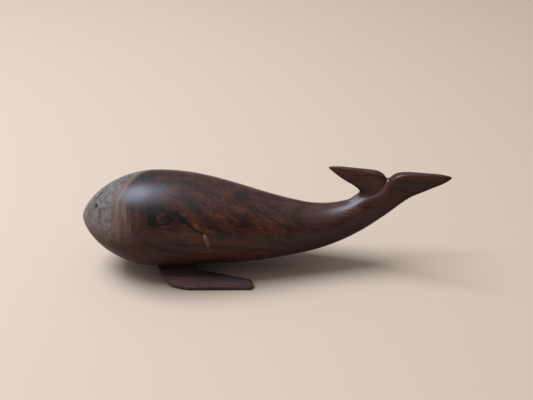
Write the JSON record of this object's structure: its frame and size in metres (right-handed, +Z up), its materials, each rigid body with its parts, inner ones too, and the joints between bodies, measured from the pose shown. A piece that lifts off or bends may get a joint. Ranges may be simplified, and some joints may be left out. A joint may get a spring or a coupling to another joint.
{
  "type": "whale figurine",
  "caption": "Carved dark hardwood whale ornament with a raised, twisted tail fluke, resting on two flat pectoral fins let into its belly.",
  "frame": {"origin": "on the floor, under the centre of the figurine's bounding box", "axes": "+X from the nose to the tail, +Y to the whale's right, +Z up"},
  "size_m": [0.3, 0.0792, 0.0919],
  "materials": {
    "carved_wood": "dark figured hardwood, hand polished and waxed",
    "fin_wood": "straight-grained dark hardwood, waxed",
    "dowel_wood": "plain turned hardwood"
  },
  "bodies": {
    "root": {"body": "carved_wood", "left_pectoral_fin": "fin_wood", "right_pectoral_fin": "fin_wood", "left_fin_front_dowel": "dowel_wood", "left_fin_rear_dowel": "dowel_wood", "right_fin_front_dowel": "dowel_wood", "right_fin_rear_dowel": "dowel_wood"}
  },
  "joints": []
}
